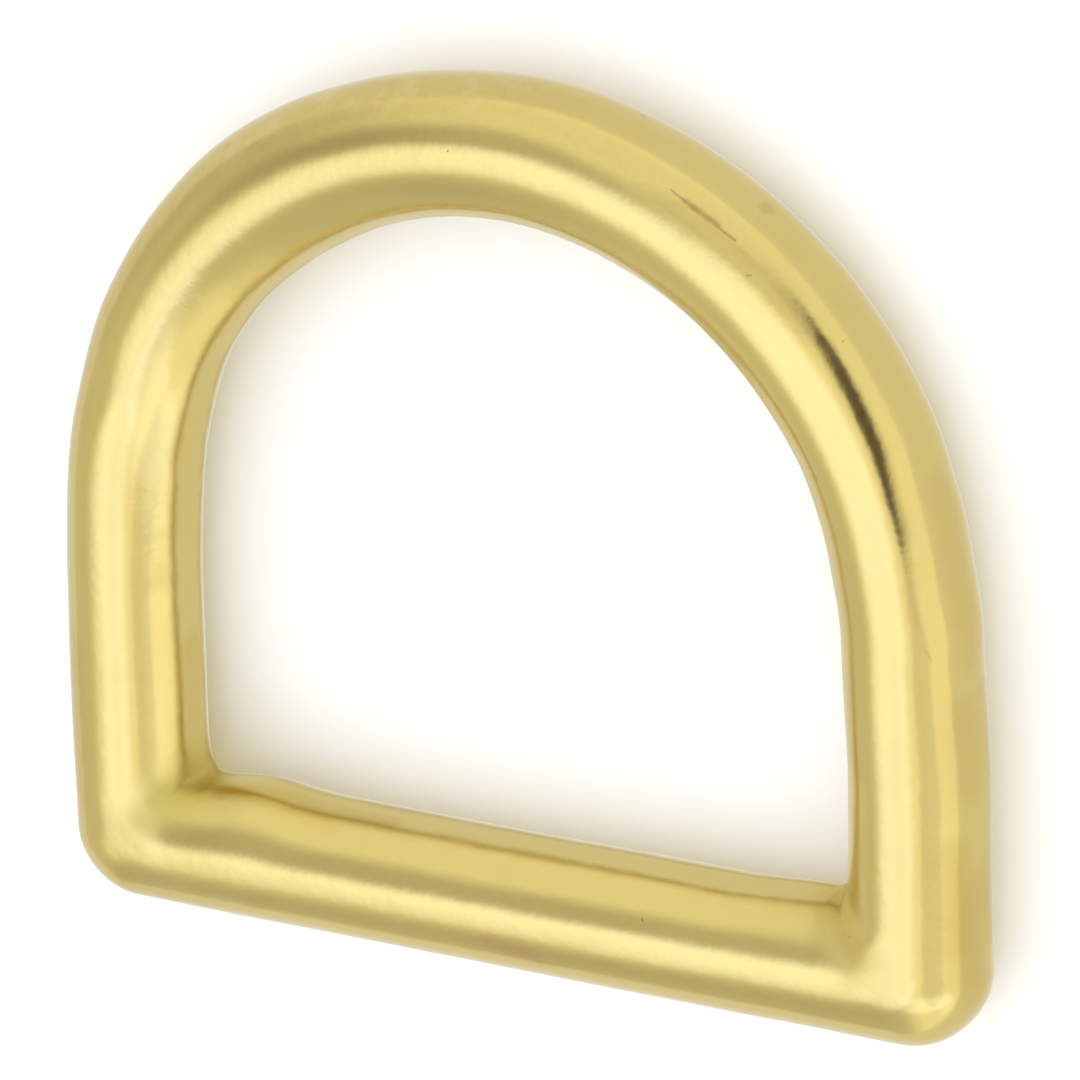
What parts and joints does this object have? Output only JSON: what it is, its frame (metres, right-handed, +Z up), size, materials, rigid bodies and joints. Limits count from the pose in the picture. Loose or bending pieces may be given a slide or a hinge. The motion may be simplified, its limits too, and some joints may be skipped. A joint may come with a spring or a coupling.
{
  "type": "d ring",
  "caption": "Solid cast brass D ring for a strap: a straight bar, short square legs and a half-round bow, all of one round section.",
  "frame": {"origin": "middle of the underside of the box round the ring, which lies flat", "axes": "+X along the straight bar, +Y from the bar towards the bow, +Z up through the ring; the corner with the larger fillet is at -X"},
  "size_m": [0.0342, 0.0303, 0.0046],
  "materials": {
    "brass": "solid cast brass, tumbled to a soft satin shine, unlacquered"
  },
  "bodies": {
    "root": {"d_ring": "brass"}
  },
  "joints": []
}
